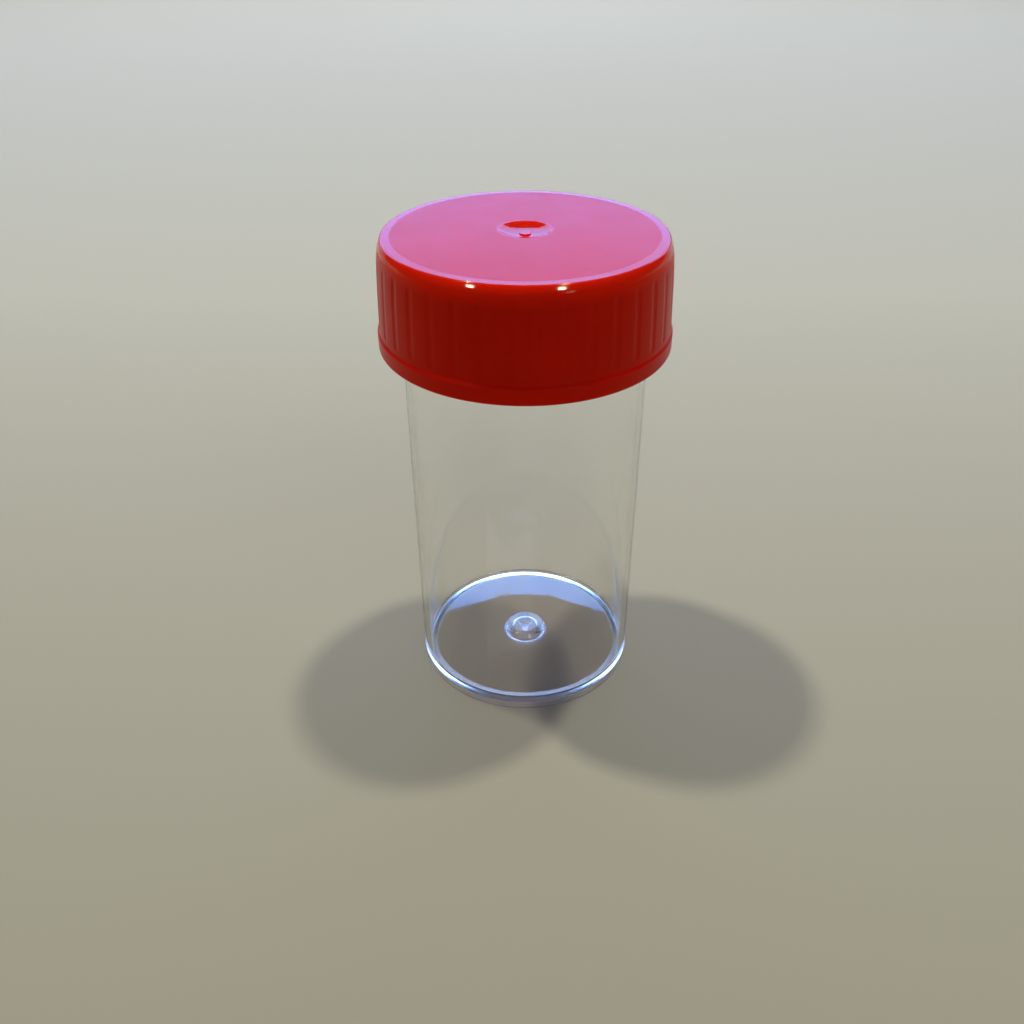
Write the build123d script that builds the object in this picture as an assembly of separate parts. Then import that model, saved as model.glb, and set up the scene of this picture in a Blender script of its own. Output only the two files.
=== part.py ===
from build123d import *
import os
from math import atan, degrees

# Sample tube: a clear straight-walled tube, a red screw cap and the soft wad that seals them.
# Millimetres, +Z up. The origin is on the tube's axis, on the surface that its foot stands on.

# Tube
tube_height = 70.0            # foot to rim
body_radius = 17.5
wall_at_mouth = 0.8           # measured from the body's radius; the inside tapers for its core
wall_at_floor = 0.9
floor_thickness = 0.7
foot_hollow = 1.45            # how far the underside is raised inside the foot ring
foot_ring_width = 0.9
foot_edge_round = 0.25
haunch_width = 1.25           # the underside slopes down to the foot ring over this width
haunch_drop = 0.37
floor_corner_round = 0.3
neck_step = 0.2               # the neck that takes the thread is this much smaller in radius
shoulder_below_skirt = 0.5    # the neck starts this far under the seated cap's lower edge
rim_round = 0.2

# Gate button, raised in the middle of the tube's floor, with the gate's well under it
button_radius = 3.3
button_height = 1.15          # its side, up from the floor
button_crown = 0.5            # the rise of its rounded top
button_edge_round = 0.6
button_foot_round = 0.4
button_nub_radius = 1.15
button_nub_height = 0.15      # above the middle of the rounded top
well_radius = 2.2
well_depth = 1.05             # up from the raised underside
well_round = 0.6
sprue_radius = 0.5
sprue_length = 0.5            # the gate's stub, hanging from the well's ceiling

# Cap
thread_room = 1.15            # radial gap between the body's radius and the cap's bore
cap_wall = 1.4                # side wall at the top
cap_flare = 0.4               # growth of the side's radius from its top to its bottom
cap_top_thickness = 1.5       # in the middle
cap_crown = 0.45              # the top's rise from its edge to its middle
cap_edge_round = 1.2
skirt_depth = 13.3            # how far the cap reaches below the rim
band_height = 2.4
band_stand_out = 0.27         # beyond the flared side
band_bevel = 0.35             # height of the slope from the band to the side
band_edge_round = 0.5
band_lip_round = 0.15
bore_lead_in = 0.5

# Grip grooves round the cap's side
groove_count = 36
groove_width = 0.9
groove_depth = 0.08
groove_end_gap = 0.2          # from each end of the plain side to the end of the groove cutter
groove_tip = 0.8              # the cutter's taper, over which a groove runs out at each end
cap_rest_turn = 9.15          # degrees from +X to a land between two grooves, with the cap tight

# Dimple in the cap's top, with the mark of the gate in it
dimple_radius = 3.6
dimple_depth = 0.8
dimple_lip_round = 0.5
cap_nub_radius = 0.8
cap_nub_height = 0.4

# Wad, and the bead that keeps it in the cap
wad_thickness = 1.0
wad_side_clearance = 0.2
bead_stand_out = 0.4
bead_below_wad = 0.1

# Heights and radii that follow from the sizes above
floor_top = foot_hollow + floor_thickness
cap_bottom = tube_height - skirt_depth
neck_base = cap_bottom - shoulder_below_skirt
neck_radius = body_radius - neck_step
mouth_radius = body_radius - wall_at_mouth
floor_radius = body_radius - wall_at_floor
cap_bore_radius = body_radius + thread_room
cap_ceiling = tube_height + wad_thickness
cap_top = cap_ceiling + cap_top_thickness
cap_top_edge = cap_top - cap_crown
cap_side_top = cap_top_edge - cap_edge_round
band_top = cap_bottom + band_height
side_foot = band_top + band_bevel
side_top_radius = cap_bore_radius + cap_wall
side_foot_radius = side_top_radius + cap_flare
band_radius = side_foot_radius + band_stand_out
flare_slope = cap_flare / (cap_side_top - side_foot)

# Each section below is half of a cut through the axis, drawn as (radius, height)


def outline(*points):
    """The face inside straight lines from point to point."""
    return make_face(Polyline(*points, close=True))


def block(radius_in, radius_out, bottom, top):
    """The section of a ring, or of a disc where its inner radius is 0."""
    return outline((radius_in, bottom), (radius_out, bottom), (radius_out, top), (radius_in, top))


def rounded(section, corner, radius):
    """The section with the corner nearest to a point rounded off."""
    return fillet(section.vertices().sort_by_distance((*corner, 0))[0], radius)


def crowned(outer_radius, bottom, edge, crown):
    """The section of a disc whose top rises as part of a ball, from its edge to its middle."""
    ball_radius = (outer_radius**2 + crown**2) / (2 * crown)
    sides = Polyline((outer_radius, edge), (outer_radius, bottom), (0, bottom), (0, edge + crown))
    return make_face(sides + RadiusArc((0, edge + crown), (outer_radius, edge), ball_radius))


def spun(section):
    """The solid that a section sweeps round the Z axis."""
    return revolve(Plane.XZ * section, Axis.Z)


def tube_shell():
    """The tube's wall, floor and foot ring: straight outside, tapered inside."""
    outside = outline(
        (0, 0),
        (body_radius, 0),
        (body_radius, neck_base),
        (neck_radius, neck_base + neck_step),
        (neck_radius, tube_height),
        (0, tube_height),
    )
    outside = rounded(outside, (body_radius, 0), foot_edge_round)
    inside = outline((0, floor_top), (floor_radius, floor_top), (mouth_radius, tube_height), (0, tube_height))
    inside = rounded(inside, (floor_radius, floor_top), floor_corner_round)
    shell = outside - inside
    shell = rounded(shell, (neck_radius, tube_height), rim_round)
    shell = rounded(shell, (mouth_radius, tube_height), rim_round)
    underside_radius = body_radius - foot_ring_width
    hollow = outline(
        (0, 0),
        (underside_radius, 0),
        (underside_radius, foot_hollow - haunch_drop),
        (underside_radius - haunch_width, foot_hollow),
        (0, foot_hollow),
    )
    return shell - hollow


def gate_button():
    """The raised button on the tube's floor: a low drum with a rounded top and a small nub on it."""
    side_top = floor_top + button_height
    button = crowned(button_radius, foot_hollow, side_top, button_crown)
    button = rounded(button, (button_radius, side_top), button_edge_round)
    nub_top = side_top + button_crown + button_nub_height
    nub = block(0, button_nub_radius, side_top, nub_top)
    return button + rounded(nub, (button_nub_radius, nub_top), button_nub_height / 2)


def gate_well():
    """The hollow under the button, without the gate's stub that hangs in it."""
    ceiling = foot_hollow + well_depth
    well = block(0, well_radius, 0, ceiling)
    well = rounded(well, (well_radius, ceiling), well_round)
    return well - block(0, sprue_radius, ceiling - sprue_length, ceiling)


def tube():
    """The clear tube, with the gate's button inside and its well underneath."""
    body = rounded(tube_shell() + gate_button(), (button_radius, floor_top), button_foot_round)
    return spun(body - gate_well())


def cap_shell():
    """The cap's wall: crowned top, rounded edge, flared side, lower band, bore and wad bead."""
    corner_radius = side_top_radius - flare_slope * cap_edge_round
    side = outline(
        (0, cap_bottom),
        (band_radius, cap_bottom),
        (band_radius, band_top),
        (side_foot_radius, side_foot),
        (corner_radius, cap_top_edge),
        (0, cap_top_edge),
    )
    form = side + crowned(corner_radius, cap_side_top, cap_top_edge, cap_crown)
    form = rounded(form, (corner_radius, cap_top_edge), cap_edge_round)
    form = rounded(form, (band_radius, band_top), band_lip_round)
    form = rounded(form, (band_radius, cap_bottom), band_edge_round)
    shell = form - block(0, cap_bore_radius, cap_bottom, cap_ceiling)
    lead_in = outline(
        (cap_bore_radius, cap_bottom),
        (cap_bore_radius + bore_lead_in, cap_bottom),
        (cap_bore_radius, cap_bottom + bore_lead_in),
    )
    bead_middle = tube_height - bead_below_wad - bead_stand_out
    return shell - lead_in + Pos(cap_bore_radius, bead_middle) * Circle(bead_stand_out)


def dimple():
    """The hollow in the cap's top, without the gate's nub that stands in it."""
    ball_radius = (dimple_radius**2 + dimple_depth**2) / (2 * dimple_depth)
    bowl = Pos(0, cap_top - dimple_depth + ball_radius) * Circle(ball_radius)
    nub_top = cap_top - dimple_depth + cap_nub_height
    nub = block(0, cap_nub_radius, cap_ceiling, nub_top)
    return bowl - rounded(nub, (cap_nub_radius, nub_top), cap_nub_height / 2)


def grip_groove():
    """One grip groove's cutter: a round bar that leans with the flared side and tapers at both ends."""
    bar_radius = (groove_width**2 / 4 + groove_depth**2) / (2 * groove_depth)
    end_radius = bar_radius - 2 * groove_depth
    bar_foot = side_foot + groove_end_gap + groove_tip
    bar_length = cap_side_top - groove_end_gap - groove_tip - bar_foot
    standing = (Align.CENTER, Align.CENTER, Align.MIN)
    bar = Cylinder(bar_radius, bar_length, align=standing)
    bar += Pos(0, 0, bar_length) * Cone(bar_radius, end_radius, groove_tip, align=standing)
    bar += Pos(0, 0, -groove_tip) * Cone(end_radius, bar_radius, groove_tip, align=standing)
    bar_centre = side_foot_radius - flare_slope * (bar_foot - side_foot) - groove_depth + bar_radius
    return Pos(bar_centre, 0, bar_foot) * Rot(0, -degrees(atan(flare_slope)), 0) * bar


def screw_cap():
    """The cap: a moulded shell with a dimple in its top and grip grooves round its side."""
    section = rounded(cap_shell() - dimple(), (dimple_radius, cap_top), dimple_lip_round)
    cap = spun(section)
    step = 360 / groove_count
    cutter = grip_groove()
    cap -= [Rot(0, 0, (index + 0.5) * step) * cutter for index in range(groove_count)]
    return Rot(0, 0, cap_rest_turn) * cap


def sealing_wad():
    """The soft disc between the cap's ceiling and the tube's rim."""
    return spun(block(0, cap_bore_radius - wad_side_clearance, tube_height, cap_ceiling))


nodes = {
    "tube": tube(),
    "screw_cap": screw_cap(),
    "sealing_wad": sealing_wad(),
}

os.makedirs("parts", exist_ok=True)
for name, solid in nodes.items():
    export_step(solid, f"parts/{name}.step")
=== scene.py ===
import math

import bpy
import numpy as np
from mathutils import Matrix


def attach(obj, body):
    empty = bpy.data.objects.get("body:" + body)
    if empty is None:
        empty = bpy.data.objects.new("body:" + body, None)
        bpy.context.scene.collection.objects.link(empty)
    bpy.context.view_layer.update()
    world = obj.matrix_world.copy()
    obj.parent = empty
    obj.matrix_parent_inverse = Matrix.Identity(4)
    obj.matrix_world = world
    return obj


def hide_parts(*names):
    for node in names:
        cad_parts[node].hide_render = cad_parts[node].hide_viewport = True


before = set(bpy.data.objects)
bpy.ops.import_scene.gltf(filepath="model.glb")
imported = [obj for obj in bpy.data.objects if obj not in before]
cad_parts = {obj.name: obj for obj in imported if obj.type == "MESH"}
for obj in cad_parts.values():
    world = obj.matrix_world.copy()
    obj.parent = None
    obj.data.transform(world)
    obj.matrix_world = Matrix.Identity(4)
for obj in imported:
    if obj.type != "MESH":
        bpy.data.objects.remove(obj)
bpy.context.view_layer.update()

# Sample tube: the clear tube, the red screw cap and the wad, each as a turned mesh with its finish.
# Shapes are in millimetres, as in the CAD source, and become metres where a mesh is written.
# Finishes, lights and the camera are in metres.
MM = 0.001

# Roundings of corners that have no size of their own, and the close rows that hold fine ones
SOFT_ROUND = 0.1
FINE_ROUND = 0.05
FINE_SUPPORT = 0.02
SHARP_ANGLE = math.radians(32)

# Tube
TUBE_HEIGHT = 70.0
BODY_RADIUS = 17.5
MOUTH_RADIUS = 16.7
FLOOR_RADIUS = 16.6
FLOOR_TOP = 2.15
FLOOR_CORNER_ROUND = 0.3
FLOOR_RISE = 0.15
FLOOR_RISE_FROM = 15.5
FOOT_HOLLOW = 1.45
UNDERSIDE_RADIUS = 16.6
HAUNCH_RADIUS = 15.35
HAUNCH_FOOT = 1.007
FOOT_EDGE_ROUND = 0.25
RIM_ROUND = 0.2
NECK_RADIUS = 17.3
NECK_BASE = 56.2
NECK_STEP = 0.2
NECK_PLAIN = 1.0
NECK_ROWS_INSET = 1.2
TUBE_COLUMNS = 320

# Gate button on the tube's floor, and the well under it
BUTTON_RADIUS = 3.3
BUTTON_SIDE_TOP = 3.3
BUTTON_CROWN = 0.5
BUTTON_EDGE_ROUND = 0.6
BUTTON_FOOT_ROUND = 0.4
BUTTON_NUB_RADIUS = 1.15
BUTTON_NUB_TOP = 3.95
BUTTON_NUB_ROUND = 0.06
WELL_RADIUS = 2.2
WELL_CEILING = 2.5
WELL_ROUND = 0.6
WELL_MOUTH_ROUND = 0.2
SPRUE_RADIUS = 0.5
SPRUE_BOTTOM = 2.0

# Cap
CAP_BOTTOM = 56.7
CAP_CEILING = 71.0
CAP_TOP = 72.5
CAP_TOP_EDGE = 72.05
CAP_CORNER_RADIUS = 20.008
CEILING_CORNER_ROUND = 0.15
BORE_RADIUS = 18.65
BORE_LEAD_IN = 0.5
LEAD_IN_ROUND = 0.08
BORE_ROW = 0.2
BORE_ROWS_END = CAP_BOTTOM + 1.0
LEAD_IN_ROWS_FROM = CAP_BOTTOM + 0.8
BEAD_HEIGHT = 69.5
BEAD_RADIUS = 0.4
BEAD_GAP = 0.5
BEAD_POINTS = 9
BAND_RADIUS = 20.72
BAND_TOP = 59.1
BAND_EDGE_ROUND = 0.5
BAND_LIP_ROUND = 0.15

# The cap's side and top edge
SIDE_FOOT = 59.45
SIDE_FOOT_RADIUS = 20.45
SIDE_LEAN = 0.02
SIDE_CURVE = 1.14
SIDE_CURVE_END = 73.2
SIDE_TOP = 71.6
SIDE_ROW = 0.1
TOP_EDGE = (19.38, 72.07)
TOP_EDGE_ROUND = 0.4
TOP_EDGE_STEPS = 14

# The middle of the cap's top: its matt part, the dimple and the gate's nub
MATT_RADIUS = 18.15
MATT_EDGE_GAP = 0.2
TOP_ROW_RADII = (MATT_RADIUS, 17.0, 14.0, 11.0, 8.0, 6.0, 5.0)
DIMPLE_RADIUS = 3.6
DIMPLE_DEPTH = 0.65
DIMPLE_LIP_ROUND = 0.5
DIMPLE_LIP_FROM = 4.6
DIMPLE_LIP_TO = 3.2
DIMPLE_ROW_RADII = (2.9, 2.6, 2.3, 2.0, 1.7, 1.4, 1.2)
CAP_NUB_ROWS_FROM = 1.0
CAP_NUB_RADIUS = 0.8
CAP_NUB_TOP = 72.02
CAP_NUB_ROUND = 0.08
CAP_NUB_FOOT_ROUND = 0.03
CAP_NUB_TORN = 0.55
CAP_NUB_TORN_DEPTH = 0.01

# The cap's finishes: glossy edge, dimple and bore, matt top, satin side and band
GLOSSY, MATT, SATIN = range(3)
GLOSS_PAST_DIMPLE = 0.3
SATIN_TOP = 70.8

# Grip grooves, cut by a round bar that tapers at both ends, more slowly at the upper one
GROOVE_COUNT = 36
GROOVE_BAR_RADIUS = 2.68
GROOVE_DEPTH = 0.08
GROOVE_FOOT = 60.45
GROOVE_BAR_TOP = 69.3
GROOVE_TIP = 0.8
GROOVE_TIP_STRETCH = 2
GROOVE_HALF_WIDTH = 0.65
GROOVE_SOFTNESS = 0.012
CAP_REST_TURN = math.radians(9.15)

# The mesh across half a groove, as shares of its half width, across the land beside it, and along it
GROOVE_COLUMNS = (0.3, 0.6, 0.85, 1.0, 1.15, 1.4)
LAND_COLUMNS = 3
GROOVE_ROWS = 17
GROOVE_ROWS_INSET = 0.2

# Thread: one right-hand start, four millimetres to the turn
THREAD_LEAD = 4.0
NECK_THREAD_START = 59.75
NECK_THREAD_TURNS = 1.75
NECK_THREAD_HEIGHT = 1.0
CAP_THREAD_DROP = 1.55
CAP_THREAD_FROM = 0.25
CAP_THREAD_TURNS = 1.2
CAP_THREAD_HEIGHT = 0.9
THREAD_FOOT_HALF = 0.85
THREAD_CREST_HALF = 0.35
THREAD_FADE = math.radians(35)
THREAD_ROW = 0.15
SAME_RADIUS = 1e-6

# Wad
WAD_RADIUS = 18.45
WAD_TOP_GAP = 0.01
WAD_EDGE_ROUND = 0.12
WAD_DENT_RADII = (16.2, 17.5)
WAD_DENT_DEPTH = 0.07
WAD_DENT_SLOPE = 0.2
WAD_DENT_ROUND = 0.2


def rounded_line(corners, steps=7, support=0.05):
    """Points (radius, height) along straight runs, with an arc at each corner (radius, height, round)."""
    made = []
    for index, (r, z, size) in enumerate(corners):
        here = np.array([r, z])
        if size == 0 or index in (0, len(corners) - 1):
            made.append(here)
            continue
        back = np.array(corners[index - 1][:2]) - here
        ahead = np.array(corners[index + 1][:2]) - here
        back, ahead = back / np.linalg.norm(back), ahead / np.linalg.norm(ahead)
        turn = math.pi - math.acos(np.clip(back @ ahead, -1, 1))
        reach = size * math.tan(turn / 2)
        middle = (back + ahead) / np.linalg.norm(back + ahead)
        centre = here + middle * math.hypot(size, reach)
        first = here + back * reach - centre
        last = here + ahead * reach - centre
        count = max(3, math.ceil(steps * turn / (math.pi / 2)))
        made.append(here + back * (reach + support))
        for step in range(count + 1):
            share = step / count
            blend = math.sin((1 - share) * turn) * first + math.sin(share * turn) * last
            made.append(centre + blend / math.sin(turn))
        made.append(here + ahead * (reach + support))
    return [tuple(p) for p in made]


def rows_between(start, end, spacing):
    """Points from start to end, both included, no further apart than the spacing."""
    count = max(1, math.ceil(math.dist(start, end) / spacing))
    return [tuple(p) for p in np.linspace(start, end, count + 1)]


def smooth_step(x):
    """A soft step from 0 to 1 while x goes from 0 to 1."""
    x = np.clip(x, 0, 1)
    return x * x * (3 - 2 * x)


def thread_ridge(angle, height, start, first, turns, rise):
    """How far a thread's ridge stands out at each angle and height. It winds on from its first turn."""
    stands = np.zeros(np.broadcast(angle, height).shape)
    for lap in range(math.ceil(first + turns) + 1):
        along = angle + math.tau * lap
        from_end = np.minimum(along - math.tau * first, math.tau * (first + turns) - along)
        centre = start + THREAD_LEAD * along / math.tau
        flank = (THREAD_FOOT_HALF - np.abs(height - centre)) / (THREAD_FOOT_HALF - THREAD_CREST_HALF)
        stands = np.maximum(stands, rise * smooth_step(flank) * smooth_step(from_end / THREAD_FADE))
    return stands


def turned(name, points, angles, materials, reshape=None, material_of=None):
    """A closed mesh turned round the Z axis from (radius, height) points that start and end on the axis."""
    points = np.array(points, float)
    inner = points[1:-1]
    shape = (len(inner), len(angles))
    angle = np.broadcast_to(angles, shape)
    radius = np.broadcast_to(inner[:, :1], shape).copy()
    height = np.broadcast_to(inner[:, 1:], shape)
    if reshape is not None:
        radius = reshape(angle, radius, height)
    rings = np.stack([radius * np.cos(angle), radius * np.sin(angle), height], axis=-1).reshape(-1, 3)
    poles = np.array([[0, 0, points[0, 1]], [0, 0, points[-1, 1]]])
    first_pole, last_pole = len(rings), len(rings) + 1
    index = np.arange(len(rings)).reshape(shape)
    beside = np.roll(index, -1, axis=1)
    quads = np.stack([index[:-1], beside[:-1], beside[1:], index[1:]], axis=-1).reshape(-1, 4)
    faces = [(first_pole, b, a) for a, b in zip(index[0], beside[0])]
    faces += quads.tolist()
    faces += [(a, b, last_pole) for a, b in zip(index[-1], beside[-1])]
    mesh = bpy.data.meshes.new(name)
    mesh.from_pydata((np.concatenate([rings, poles]) * MM).tolist(), [], faces)
    mesh.update()
    mesh.polygons.foreach_set("use_smooth", [True] * len(mesh.polygons))
    mesh.set_sharp_from_angle(angle=SHARP_ANGLE)
    for material in materials:
        mesh.materials.append(material)
    if material_of is not None:
        slots = [material_of(*here, *after) for here, after in zip(inner, [*inner[1:], inner[-1]])]
        slots_of_rows = [slots[0], *slots[:-1], slots[-1]]
        mesh.polygons.foreach_set("material_index", np.repeat(slots_of_rows, len(angles)).tolist())
    piece = bpy.data.objects.new(name, mesh)
    bpy.context.scene.collection.objects.link(piece)
    return piece


# Materials
class Nodes:
    """A new material, with short calls that add nodes and links to it."""

    def __init__(self, name):
        self.material = bpy.data.materials.new(name)
        self.material.use_nodes = True
        self.tree = self.material.node_tree
        self.tree.nodes.clear()
        self.place = self.add("ShaderNodeTexCoord").outputs["Object"]

    def add(self, kind, inputs=(), **settings):
        """A node with its settings, and with a value or a link at each named input."""
        node = self.tree.nodes.new(kind)
        for key, value in settings.items():
            setattr(node, key, value)
        for key, value in dict(inputs).items():
            if isinstance(value, bpy.types.NodeSocket):
                self.tree.links.new(value, node.inputs[key])
            else:
                node.inputs[key].default_value = value
        return node

    def part_of_place(self, axis):
        """How far along X, Y or Z a point of the surface lies."""
        return self.add("ShaderNodeSeparateXYZ", {"Vector": self.place}).outputs[axis]

    def noise(self, scale, detail=2.0, roughness=0.5, stretch=(1, 1, 1)):
        """Noise from 0 to 1, with a scale in waves per metre."""
        mapped = self.add("ShaderNodeMapping", {"Vector": self.place, "Scale": stretch})
        found = {"Vector": mapped.outputs[0], "Scale": scale, "Detail": detail, "Roughness": roughness}
        return self.add("ShaderNodeTexNoise", found).outputs["Fac"]

    def between(self, value, low, high, start=0.3, end=0.7):
        """A number that goes from low to high while the value goes from start to end."""
        given = {"Value": value, "From Min": start, "From Max": end, "To Min": low, "To Max": high}
        return self.add("ShaderNodeMapRange", given).outputs["Result"]

    def combine(self, operation, first, second, clamp=False):
        """Two values added or multiplied."""
        given = {0: first, 1: second}
        return self.add("ShaderNodeMath", given, operation=operation, use_clamp=clamp).outputs[0]

    def blend(self, factor, first, second):
        """A colour that goes from the first to the second."""
        node = self.add("ShaderNodeMix", data_type="RGBA")
        self.tree.links.new(factor, node.inputs["Factor"])
        for key, colour in (("A", first), ("B", second)):
            socket = [s for s in node.inputs if s.name == key and s.type == "RGBA"][0]
            socket.default_value = (*colour, 1)
        return [s for s in node.outputs if s.type == "RGBA"][0]

    def bump(self, height, strength, distance, normal=None):
        """A normal that follows a height, on top of another normal where one is given."""
        given = {"Height": height, "Strength": strength, "Distance": distance}
        if normal is not None:
            given["Normal"] = normal
        return self.add("ShaderNodeBump", given).outputs["Normal"]

    def finish(self, shader):
        """The material, with the shader on its surface."""
        out = self.add("ShaderNodeOutputMaterial")
        self.tree.links.new(shader, out.inputs["Surface"])
        return self.material


# Red polyethylene. Near the cap's top edge its colour is painted lighter, a painted glow for the light that
# passes through it there
DEEP_RED = (0.66, 0.005, 0.0007)
TOP_RED = (0.68, 0.026, 0.002)
PAINTED_GLOW_RED = (0.98, 0.016, 0.0012)
PAINTED_GLOW_FROM = 0.0692
PAINTED_GLOW_TO = 0.0714
RED_SHINE_TINT = (1.0, 0.97, 0.34, 1)
RED_GLOW_RADII = (1.0, 0.12, 0.05)


def red_plastic(name, base, rough, shine, glow, glow_reach, painted_edge_glow=0, grain=0):
    """Moulded red polyethylene, with a painted glow near the cap's top edge. With a grain it has the fine
    matt texture of the cap's top.
    """
    n = Nodes(name)
    # Painted glow: the colour turns lighter towards the cap's top edge, with a little random tone on top
    painted_glow_near_edge = n.between(n.part_of_place("Z"), 0, painted_edge_glow, start=PAINTED_GLOW_FROM, end=PAINTED_GLOW_TO)
    cloud = n.between(n.noise(160, detail=3), 0, 0.1)
    painted_glow_and_tone = n.combine("ADD", painted_glow_near_edge, cloud, clamp=True)
    normal = n.bump(n.noise(300, detail=1), strength=0.03, distance=0.00002)
    if grain:
        normal = n.bump(n.noise(6500, roughness=0.6), strength=grain, distance=0.00003, normal=normal)
    shader = n.add(
        "ShaderNodeBsdfPrincipled",
        {
            "Base Color": n.blend(painted_glow_and_tone, base, PAINTED_GLOW_RED),
            "Roughness": n.between(n.noise(220, detail=1), *rough),
            "Normal": normal,
            "IOR": 1.5,
            "Specular IOR Level": shine,
            "Specular Tint": RED_SHINE_TINT,
            "Subsurface Weight": glow,
            "Subsurface Radius": RED_GLOW_RADII,
            "Subsurface Scale": glow_reach,
        },
    )
    return n.finish(shader.outputs[0])


# Clear polystyrene, with a light frost on the gate's button and under the foot ring
CLEAR_COLOUR = (0.985, 0.99, 0.992, 1)
CLEAR_SHADE = (0.87, 0.845, 0.85, 1)
BUTTON_FROST = 0.2
BUTTON_FROST_FULL = 0.0034
BUTTON_FROST_END = 0.0041
RING_FROST = 0.09
RING_FROST_FROM = 0.0149
RING_FROST_FULL = 0.0156
RING_FROST_BELOW = 0.0023
RING_FROST_TOP = 0.0029


def clear_plastic():
    """Polished clear polystyrene. Lamps and the floor's light pass straight through it."""
    n = Nodes("clear_polystyrene")
    across = n.add("ShaderNodeMapping", {"Vector": n.place, "Scale": (1, 1, 0)}).outputs[0]
    from_axis = n.add("ShaderNodeVectorMath", {0: across}, operation="LENGTH").outputs["Value"]
    polish = n.between(n.noise(260, detail=4, roughness=0.65), 0.0, 0.035, start=0.4, end=0.75)
    button = n.between(from_axis, BUTTON_FROST, 0.0, start=BUTTON_FROST_FULL, end=BUTTON_FROST_END)
    out_at_ring = n.between(from_axis, 0.0, RING_FROST, start=RING_FROST_FROM, end=RING_FROST_FULL)
    low_down = n.between(n.part_of_place("Z"), 1.0, 0.0, start=RING_FROST_BELOW, end=RING_FROST_TOP)
    ring = n.combine("MULTIPLY", out_at_ring, low_down)
    ripple = n.noise(120, stretch=(1, 1, 0.35))
    surface = n.add(
        "ShaderNodeBsdfPrincipled",
        {
            "Base Color": CLEAR_COLOUR,
            "Roughness": n.combine("ADD", n.combine("ADD", polish, button), ring),
            "Normal": n.bump(ripple, strength=0.06, distance=0.00005),
            "IOR": 1.59,
            "Transmission Weight": 1.0,
        },
    ).outputs[0]
    rays = n.add("ShaderNodeLightPath").outputs
    for kind in ("Is Diffuse Ray", "Is Shadow Ray"):
        straight = n.add("ShaderNodeBsdfTransparent", {"Color": CLEAR_SHADE}).outputs[0]
        mixed = n.add("ShaderNodeMixShader", {0: rays[kind], 1: surface, 2: straight})
        surface = mixed.outputs[0]
    return n.finish(surface)


def wad_foam():
    """White closed-cell foam with a smooth skin."""
    n = Nodes("wad_foam")
    patches = n.between(n.noise(700, detail=3), 0, 1)
    cells = n.add("ShaderNodeTexVoronoi", {"Vector": n.place, "Scale": 3500}).outputs["Distance"]
    shader = n.add(
        "ShaderNodeBsdfPrincipled",
        {
            "Base Color": n.blend(patches, (0.80, 0.80, 0.77), (0.88, 0.88, 0.85)),
            "Roughness": 0.6,
            "Normal": n.bump(cells, strength=0.3, distance=0.00003),
            "IOR": 1.5,
        },
    )
    return n.finish(shader.outputs[0])


# Tube
def tube_points():
    """The tube's section from the gate's stub out over the foot, up the wall, in and down to the button."""
    underside = rounded_line(
        [
            (0, SPRUE_BOTTOM, 0),
            (SPRUE_RADIUS, SPRUE_BOTTOM, SOFT_ROUND),
            (SPRUE_RADIUS, WELL_CEILING, SOFT_ROUND),
            (WELL_RADIUS, WELL_CEILING, WELL_ROUND),
            (WELL_RADIUS, FOOT_HOLLOW, WELL_MOUTH_ROUND),
            (HAUNCH_RADIUS, FOOT_HOLLOW, SOFT_ROUND),
            (UNDERSIDE_RADIUS, HAUNCH_FOOT, SOFT_ROUND),
            (UNDERSIDE_RADIUS, 0, FINE_ROUND),
            (BODY_RADIUS, 0, FOOT_EDGE_ROUND),
            (BODY_RADIUS, NECK_BASE, FINE_ROUND),
            (NECK_RADIUS, NECK_BASE + NECK_STEP, FINE_ROUND),
            (NECK_RADIUS, NECK_BASE + NECK_PLAIN, 0),
        ]
    )
    lowest_row = (NECK_RADIUS, NECK_BASE + NECK_ROWS_INSET)
    highest_row = (NECK_RADIUS, TUBE_HEIGHT - NECK_ROWS_INSET)
    neck = rows_between(lowest_row, highest_row, THREAD_ROW)
    nub_foot = BUTTON_SIDE_TOP + BUTTON_CROWN * (1 - (BUTTON_NUB_RADIUS / BUTTON_RADIUS) ** 2)
    inside = rounded_line(
        [
            (NECK_RADIUS, TUBE_HEIGHT - NECK_PLAIN, 0),
            (NECK_RADIUS, TUBE_HEIGHT, RIM_ROUND),
            (MOUTH_RADIUS, TUBE_HEIGHT, RIM_ROUND),
            (FLOOR_RADIUS, FLOOR_TOP + FLOOR_RISE, FLOOR_CORNER_ROUND),
            (FLOOR_RISE_FROM, FLOOR_TOP, FLOOR_CORNER_ROUND),
            (BUTTON_RADIUS, FLOOR_TOP, BUTTON_FOOT_ROUND),
            (BUTTON_RADIUS, BUTTON_SIDE_TOP, BUTTON_EDGE_ROUND),
            (BUTTON_NUB_RADIUS, nub_foot, FINE_ROUND),
            (BUTTON_NUB_RADIUS, BUTTON_NUB_TOP, BUTTON_NUB_ROUND),
            (0, BUTTON_NUB_TOP, 0),
        ]
    )
    return underside + neck + inside


def with_neck_thread(angle, radius, height):
    """The neck's ridge, on the rows of the neck's outside alone."""
    ridge = thread_ridge(angle, height, NECK_THREAD_START, 0, NECK_THREAD_TURNS, NECK_THREAD_HEIGHT)
    return np.where(np.abs(radius - NECK_RADIUS) < SAME_RADIUS, radius + ridge, radius)


even_angles = np.linspace(0, math.tau, TUBE_COLUMNS, endpoint=False)
tube = turned("tube_body", tube_points(), even_angles, [clear_plastic()], with_neck_thread)
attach(tube, "tube")
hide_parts("tube")


# Cap
def side_radius(height):
    """The radius of the cap's side, which leans in more and more towards the top edge."""
    curve = SIDE_CURVE / (SIDE_CURVE_END - height) - SIDE_CURVE / (SIDE_CURVE_END - SIDE_FOOT)
    return SIDE_FOOT_RADIUS - SIDE_LEAN * (height - SIDE_FOOT) - curve


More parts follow.
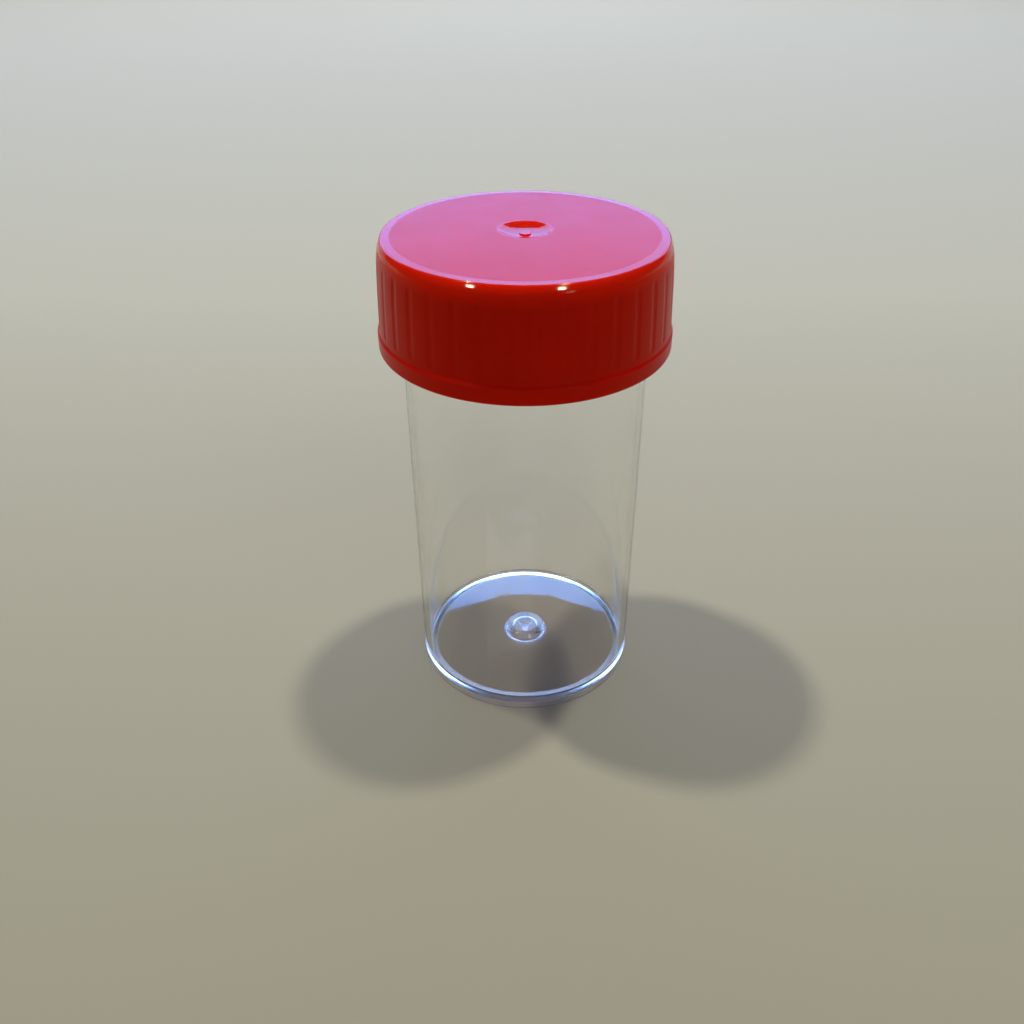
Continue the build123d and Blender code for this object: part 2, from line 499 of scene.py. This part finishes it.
def side_point(height):
    """A point of the cap's side."""
    return side_radius(height), height


def crown_point(radius):
    """A point of the cap's top, which is part of a large ball."""
    crown = CAP_TOP - CAP_TOP_EDGE
    ball = (CAP_CORNER_RADIUS**2 + crown**2) / (2 * crown)
    return radius, CAP_TOP - ball + math.sqrt(ball**2 - radius**2)


def dimple_point(radius):
    """A point of the dimple, which is nearly flat in its middle."""
    return radius, CAP_TOP - DIMPLE_DEPTH + DIMPLE_DEPTH * (radius / DIMPLE_RADIUS) ** 3


def cap_inside():
    """The cap's section from the middle of its ceiling past the wad's bead and down the bore."""
    ceiling = rounded_line(
        [
            (0, CAP_CEILING, 0),
            (BORE_RADIUS, CAP_CEILING, CEILING_CORNER_ROUND),
            (BORE_RADIUS, BEAD_HEIGHT + BEAD_GAP, 0),
        ]
    )
    bead = [
        (BORE_RADIUS - BEAD_RADIUS * math.sin(a), BEAD_HEIGHT + BEAD_RADIUS * math.cos(a))
        for a in np.linspace(0, math.pi, BEAD_POINTS)
    ]
    bore_top = (BORE_RADIUS, BEAD_HEIGHT - BEAD_GAP)
    bore_end = (BORE_RADIUS, BORE_ROWS_END)
    return ceiling + bead + rows_between(bore_top, bore_end, BORE_ROW)


def cap_outside():
    """The cap's section from its lead-in round the band and up the side to the matt part of the top."""
    band = rounded_line(
        [
            (BORE_RADIUS, LEAD_IN_ROWS_FROM, 0),
            (BORE_RADIUS, CAP_BOTTOM + BORE_LEAD_IN, SOFT_ROUND),
            (BORE_RADIUS + BORE_LEAD_IN, CAP_BOTTOM, LEAD_IN_ROUND),
            (BAND_RADIUS, CAP_BOTTOM, BAND_EDGE_ROUND),
            (BAND_RADIUS, BAND_TOP, BAND_LIP_ROUND),
            (*side_point(SIDE_FOOT), SOFT_ROUND),
            (*side_point(SIDE_FOOT + SIDE_ROW), 0),
        ]
    )
    side = rows_between(side_point(SIDE_FOOT + 1.5 * SIDE_ROW), side_point(GROOVE_FOOT), SIDE_ROW)
    groove_rows = (GROOVE_FOOT + GROOVE_TIP, GROOVE_BAR_TOP - GROOVE_ROWS_INSET)
    side += [side_point(z) for z in np.linspace(*groove_rows, GROOVE_ROWS)]
    side += [side_point(z) for z in np.arange(GROOVE_BAR_TOP, SIDE_TOP - SIDE_ROW / 2, SIDE_ROW)]
    edge = rounded_line(
        [
            (*side_point(SIDE_TOP), 0),
            (*TOP_EDGE, TOP_EDGE_ROUND),
            (*crown_point(MATT_RADIUS + MATT_EDGE_GAP), 0),
        ],
        steps=TOP_EDGE_STEPS,
    )
    return band + side + edge


def cap_middle():
    """The section of the cap's top from its matt part into the dimple and over the nub to the axis."""
    top = [crown_point(r) for r in TOP_ROW_RADII]
    lip = rounded_line(
        [
            (*crown_point(DIMPLE_LIP_FROM), 0),
            (*crown_point(DIMPLE_RADIUS), DIMPLE_LIP_ROUND),
            (*dimple_point(DIMPLE_LIP_TO), 0),
        ]
    )
    dimple = [dimple_point(r) for r in DIMPLE_ROW_RADII]
    nub = rounded_line(
        [
            (*dimple_point(CAP_NUB_ROWS_FROM), 0),
            (*dimple_point(CAP_NUB_RADIUS), CAP_NUB_FOOT_ROUND),
            (CAP_NUB_RADIUS, CAP_NUB_TOP, CAP_NUB_ROUND),
            (CAP_NUB_TORN, CAP_NUB_TOP, 0),
            (0, CAP_NUB_TOP, 0),
        ],
        support=FINE_SUPPORT,
    )
    return top + lip + dimple + nub


def cap_angles():
    """Angles round the cap, close together across each grip groove."""
    half = np.array(GROOVE_COLUMNS)
    in_groove = np.concatenate([-half[::-1], [0], half]) * GROOVE_HALF_WIDTH / SIDE_FOOT_RADIUS
    pitch = math.tau / GROOVE_COUNT
    on_land = np.linspace(in_groove[-1], pitch + in_groove[0], LAND_COLUMNS + 2)[1:-1]
    one = np.concatenate([in_groove, on_land])
    return np.concatenate([one + pitch * (k + 0.5) + CAP_REST_TURN for k in range(GROOVE_COUNT)])


def grooved(angle, radius, height):
    """The radius with the grip grooves cut into the cap's side, with a soft edge."""
    pitch = math.tau / GROOVE_COUNT
    off = (angle - CAP_REST_TURN) % pitch - pitch / 2
    past_end = np.maximum((height - GROOVE_BAR_TOP) / GROOVE_TIP_STRETCH, GROOVE_FOOT - height)
    bar = GROOVE_BAR_RADIUS - 2 * GROOVE_DEPTH * np.clip(past_end / GROOVE_TIP, 0, 1)
    centre = side_radius(height) - GROOVE_DEPTH + GROOVE_BAR_RADIUS
    inside = bar**2 - (centre * np.sin(off)) ** 2
    cut = centre * np.cos(off) - np.sqrt(np.maximum(inside, 0))
    soft_edge = GROOVE_SOFTNESS * np.log1p(np.exp(-np.abs(radius - cut) / GROOVE_SOFTNESS))
    is_cut = (inside > 0) & (radius > BORE_RADIUS + BORE_LEAD_IN) & (past_end < GROOVE_TIP)
    return np.where(is_cut, np.minimum(radius, cut) - soft_edge, radius)


def with_grooves_and_thread(angle, radius, height):
    """The grip grooves on the cap's outside and the thread's ridge in its bore."""
    radius = grooved(angle, radius, height)
    ridge = thread_ridge(
        angle % math.tau,
        height,
        NECK_THREAD_START - CAP_THREAD_DROP,
        CAP_THREAD_FROM,
        CAP_THREAD_TURNS,
        CAP_THREAD_HEIGHT,
    )
    return np.where(np.abs(radius - BORE_RADIUS) < SAME_RADIUS, radius - ridge, radius)


def cap_slot(r0, z0, r1, z1):
    """The finish of the row between two points. The torn middle of the nub is matt, like the top."""
    r, z = (r0 + r1) / 2, (z0 + z1) / 2
    if z > CAP_TOP_EDGE and DIMPLE_RADIUS + GLOSS_PAST_DIMPLE < r < MATT_RADIUS:
        return MATT
    if r < CAP_NUB_TORN and z > CAP_NUB_TOP - CAP_NUB_TORN_DEPTH:
        return MATT
    return SATIN if r > BORE_RADIUS + BORE_LEAD_IN and z < SATIN_TOP else GLOSSY


reds = [
    red_plastic(
        "red_polyethylene_gloss",
        DEEP_RED,
        rough=(0.05, 0.10),
        shine=0.35,
        glow=1.0,
        glow_reach=0.004,
        # painted glow near the top edge
        painted_edge_glow=0.9,
    ),
    red_plastic(
        "red_polyethylene_matt",
        TOP_RED,
        rough=(0.28, 0.32),
        shine=0.145,
        glow=0.3,
        glow_reach=0.002,
        grain=0.25,
    ),
    red_plastic(
        "red_polyethylene_satin",
        DEEP_RED,
        rough=(0.28, 0.32),
        shine=0.1,
        glow=0.8,
        # painted glow near the top edge
        glow_reach=0.003,
        painted_edge_glow=0.9,
    ),
]
cap_points = cap_inside() + cap_outside() + cap_middle()
cap = turned("cap_shell", cap_points, cap_angles(), reds, with_grooves_and_thread, cap_slot)
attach(cap, "cap")
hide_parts("screw_cap")


# Wad, with the dent that the tube's rim leaves in it
dent_in, dent_out = WAD_DENT_RADII
dent_top = TUBE_HEIGHT + WAD_DENT_DEPTH
wad_top = CAP_CEILING - WAD_TOP_GAP
wad_points = rounded_line(
    [
        (0, TUBE_HEIGHT, 0),
        (dent_in, TUBE_HEIGHT, WAD_DENT_ROUND),
        (dent_in + WAD_DENT_SLOPE, dent_top, WAD_DENT_ROUND),
        (dent_out - WAD_DENT_SLOPE, dent_top, WAD_DENT_ROUND),
        (dent_out, TUBE_HEIGHT, WAD_DENT_ROUND),
        (WAD_RADIUS, TUBE_HEIGHT, WAD_EDGE_ROUND),
        (WAD_RADIUS, wad_top, WAD_EDGE_ROUND),
        (0, wad_top, 0),
    ],
    support=FINE_SUPPORT,
)
wad = turned("wad_disc", wad_points, even_angles, [wad_foam()])
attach(wad, "wad")
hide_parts("sealing_wad")


# Floor, a little darker and warmer near the camera: painted shade on the floor in front of the object
FLOOR_HALF = 4
FLOOR_NEAR_PAINTED_SHADE = (0.33, 0.32, 0.268)
FLOOR_FAR = (0.54, 0.54, 0.457)
FLOOR_NEAR_AT = -0.12
FLOOR_FAR_AT = 0.16


def floor_material():
    """Pale floor, with painted shade that makes it darker and warmer near the camera."""
    n = Nodes("pale_floor_painted_shade")
    # Painted shade: the colour darkens towards the camera
    out_of_painted_shade = n.between(n.part_of_place("Y"), 0, 1, start=FLOOR_NEAR_AT, end=FLOOR_FAR_AT)
    colour = n.blend(out_of_painted_shade, FLOOR_NEAR_PAINTED_SHADE, FLOOR_FAR)
    shader = n.add("ShaderNodeBsdfPrincipled", {"Base Color": colour, "Roughness": 0.75, "IOR": 1.4})
    return n.finish(shader.outputs[0])


floor_corners = [(FLOOR_HALF * x, FLOOR_HALF * y, 0) for x, y in ((-1, -1), (1, -1), (1, 1), (-1, 1))]
floor_mesh = bpy.data.meshes.new("floor")
floor_mesh.from_pydata(floor_corners, [], [(0, 1, 2, 3)])
floor_mesh.materials.append(floor_material())
floor = bpy.data.objects.new("floor", floor_mesh)
bpy.context.scene.collection.objects.link(floor)


# Light
def soft_light(name, place, aim, size, power, colour, on_matt=True, in_gloss=True):
    """A rectangular soft light, turned to its aim. It can be left off matt surfaces or out of gloss."""
    data = bpy.data.lights.new(name, "AREA")
    data.shape = "RECTANGLE"
    data.size, data.size_y = size
    data.energy = power
    data.color = colour
    light = bpy.data.objects.new(name, data)
    bpy.context.scene.collection.objects.link(light)
    way = np.array(aim, float) - np.array(place, float)
    tilt = math.atan2(math.hypot(way[0], way[1]), -way[2])
    heading = math.atan2(way[0], -way[1]) + math.pi
    light.location = place
    light.rotation_euler = (tilt, 0, heading)
    light.visible_camera = False
    light.visible_diffuse = on_matt
    light.visible_glossy = in_gloss


# A bank of soft boxes stands behind the object: two wide wings that turn towards it and a narrow middle,
# each with a lower and a brighter upper part. A part has its x, its y, its turn and its width. A row has
# its height, how tall it is, and its watts for each metre of width.
BANK_COLOUR = (0.11, 0.37, 1.08)
WING_TURN = math.radians(18)
BANK_PARTS = (
    (-0.65, 1.208, -WING_TURN, 1.24),
    (0, 1.40, 0, 0.12),
    (0.65, 1.208, WING_TURN, 1.24),
)
BANK_ROWS = (
    (0.476, 0.472, 5.65),
    (0.932, 0.44, 7.26),
)
for x, y, turn, wide in BANK_PARTS:
    for height, tall, power_per_metre in BANK_ROWS:
        place = (x, y, height)
        aim = (x - y * math.tan(turn), 0, height)
        power = power_per_metre * wide
        soft_light("rear_softbox", place, aim, (wide, tall), power, BANK_COLOUR, on_matt=False)

# Fills for the floor behind the object, and for the whole object from the front
CAP_AIM = (0, 0, 0.06)
soft_light(
    "rear_fill",
    place=(0, 1.1, 0.6),
    aim=(0, 0.7, 0),
    size=(1.6, 0.4),
    power=5.0,
    colour=(0.92, 0.94, 1.0),
    in_gloss=False,
)
soft_light(
    "front_fill",
    place=(0.25, -0.7, 0.75),
    aim=CAP_AIM,
    size=(0.9, 0.3),
    power=1.5,
    colour=(1.0, 0.94, 0.84),
    in_gloss=False,
)

# Small lamps in front make the highlights on the cap's edge. Each has its place and power.
SPARKLE_SIZE = (0.09, 0.03)
SPARKLE_COLOUR = (0.9, 0.93, 2.0)
SPARKLES = (
    ((-0.574, -0.637, 0.396), 0.5),
    ((0.394, -0.751, 0.422), 0.5),
    ((0.492, -0.76, 0.223), 0.15),
)
for place, power in SPARKLES:
    soft_light("front_sparkle", place, CAP_AIM, SPARKLE_SIZE, power, SPARKLE_COLOUR, on_matt=False)

# Two lamps high up, one to each side, cast the two round shadows. Each has its place and power.
OVERHEAD_AIM = (0, 0, 0.03)
OVERHEAD_SIZE = (0.12, 0.12)
OVERHEAD_COLOUR = (1.0, 0.93, 0.74)
OVERHEADS = (
    ((-0.735, 0.35, 2.0), 17.2),
    ((0.465, 0.35, 2.0), 13.8),
)
for place, power in OVERHEADS:
    soft_light("overhead_softbox", place, OVERHEAD_AIM, OVERHEAD_SIZE, power, OVERHEAD_COLOUR)

WORLD_COLOUR = (0.066, 0.064, 0.06, 1)
world = bpy.data.worlds.new("studio")
world.use_nodes = True
world.node_tree.nodes["Background"].inputs["Color"].default_value = WORLD_COLOUR
bpy.context.scene.world = world

# Camera, in front of the object and above it, looking 34.4 degrees down
camera_data = bpy.data.cameras.new("camera")
camera_data.sensor_width = 36
camera_data.lens = 33.29
camera_data.shift_x = -0.0129
camera_data.shift_y = -0.0026
camera_data.clip_start = 0.005
camera_data.clip_end = 20
camera = bpy.data.objects.new("camera", camera_data)
bpy.context.scene.collection.objects.link(camera)
camera.location = (0, -0.1254, 0.1131)
camera.rotation_euler = (math.radians(55.563), 0, 0)
bpy.context.scene.camera = camera
bpy.context.scene.view_settings.view_transform = "Standard"
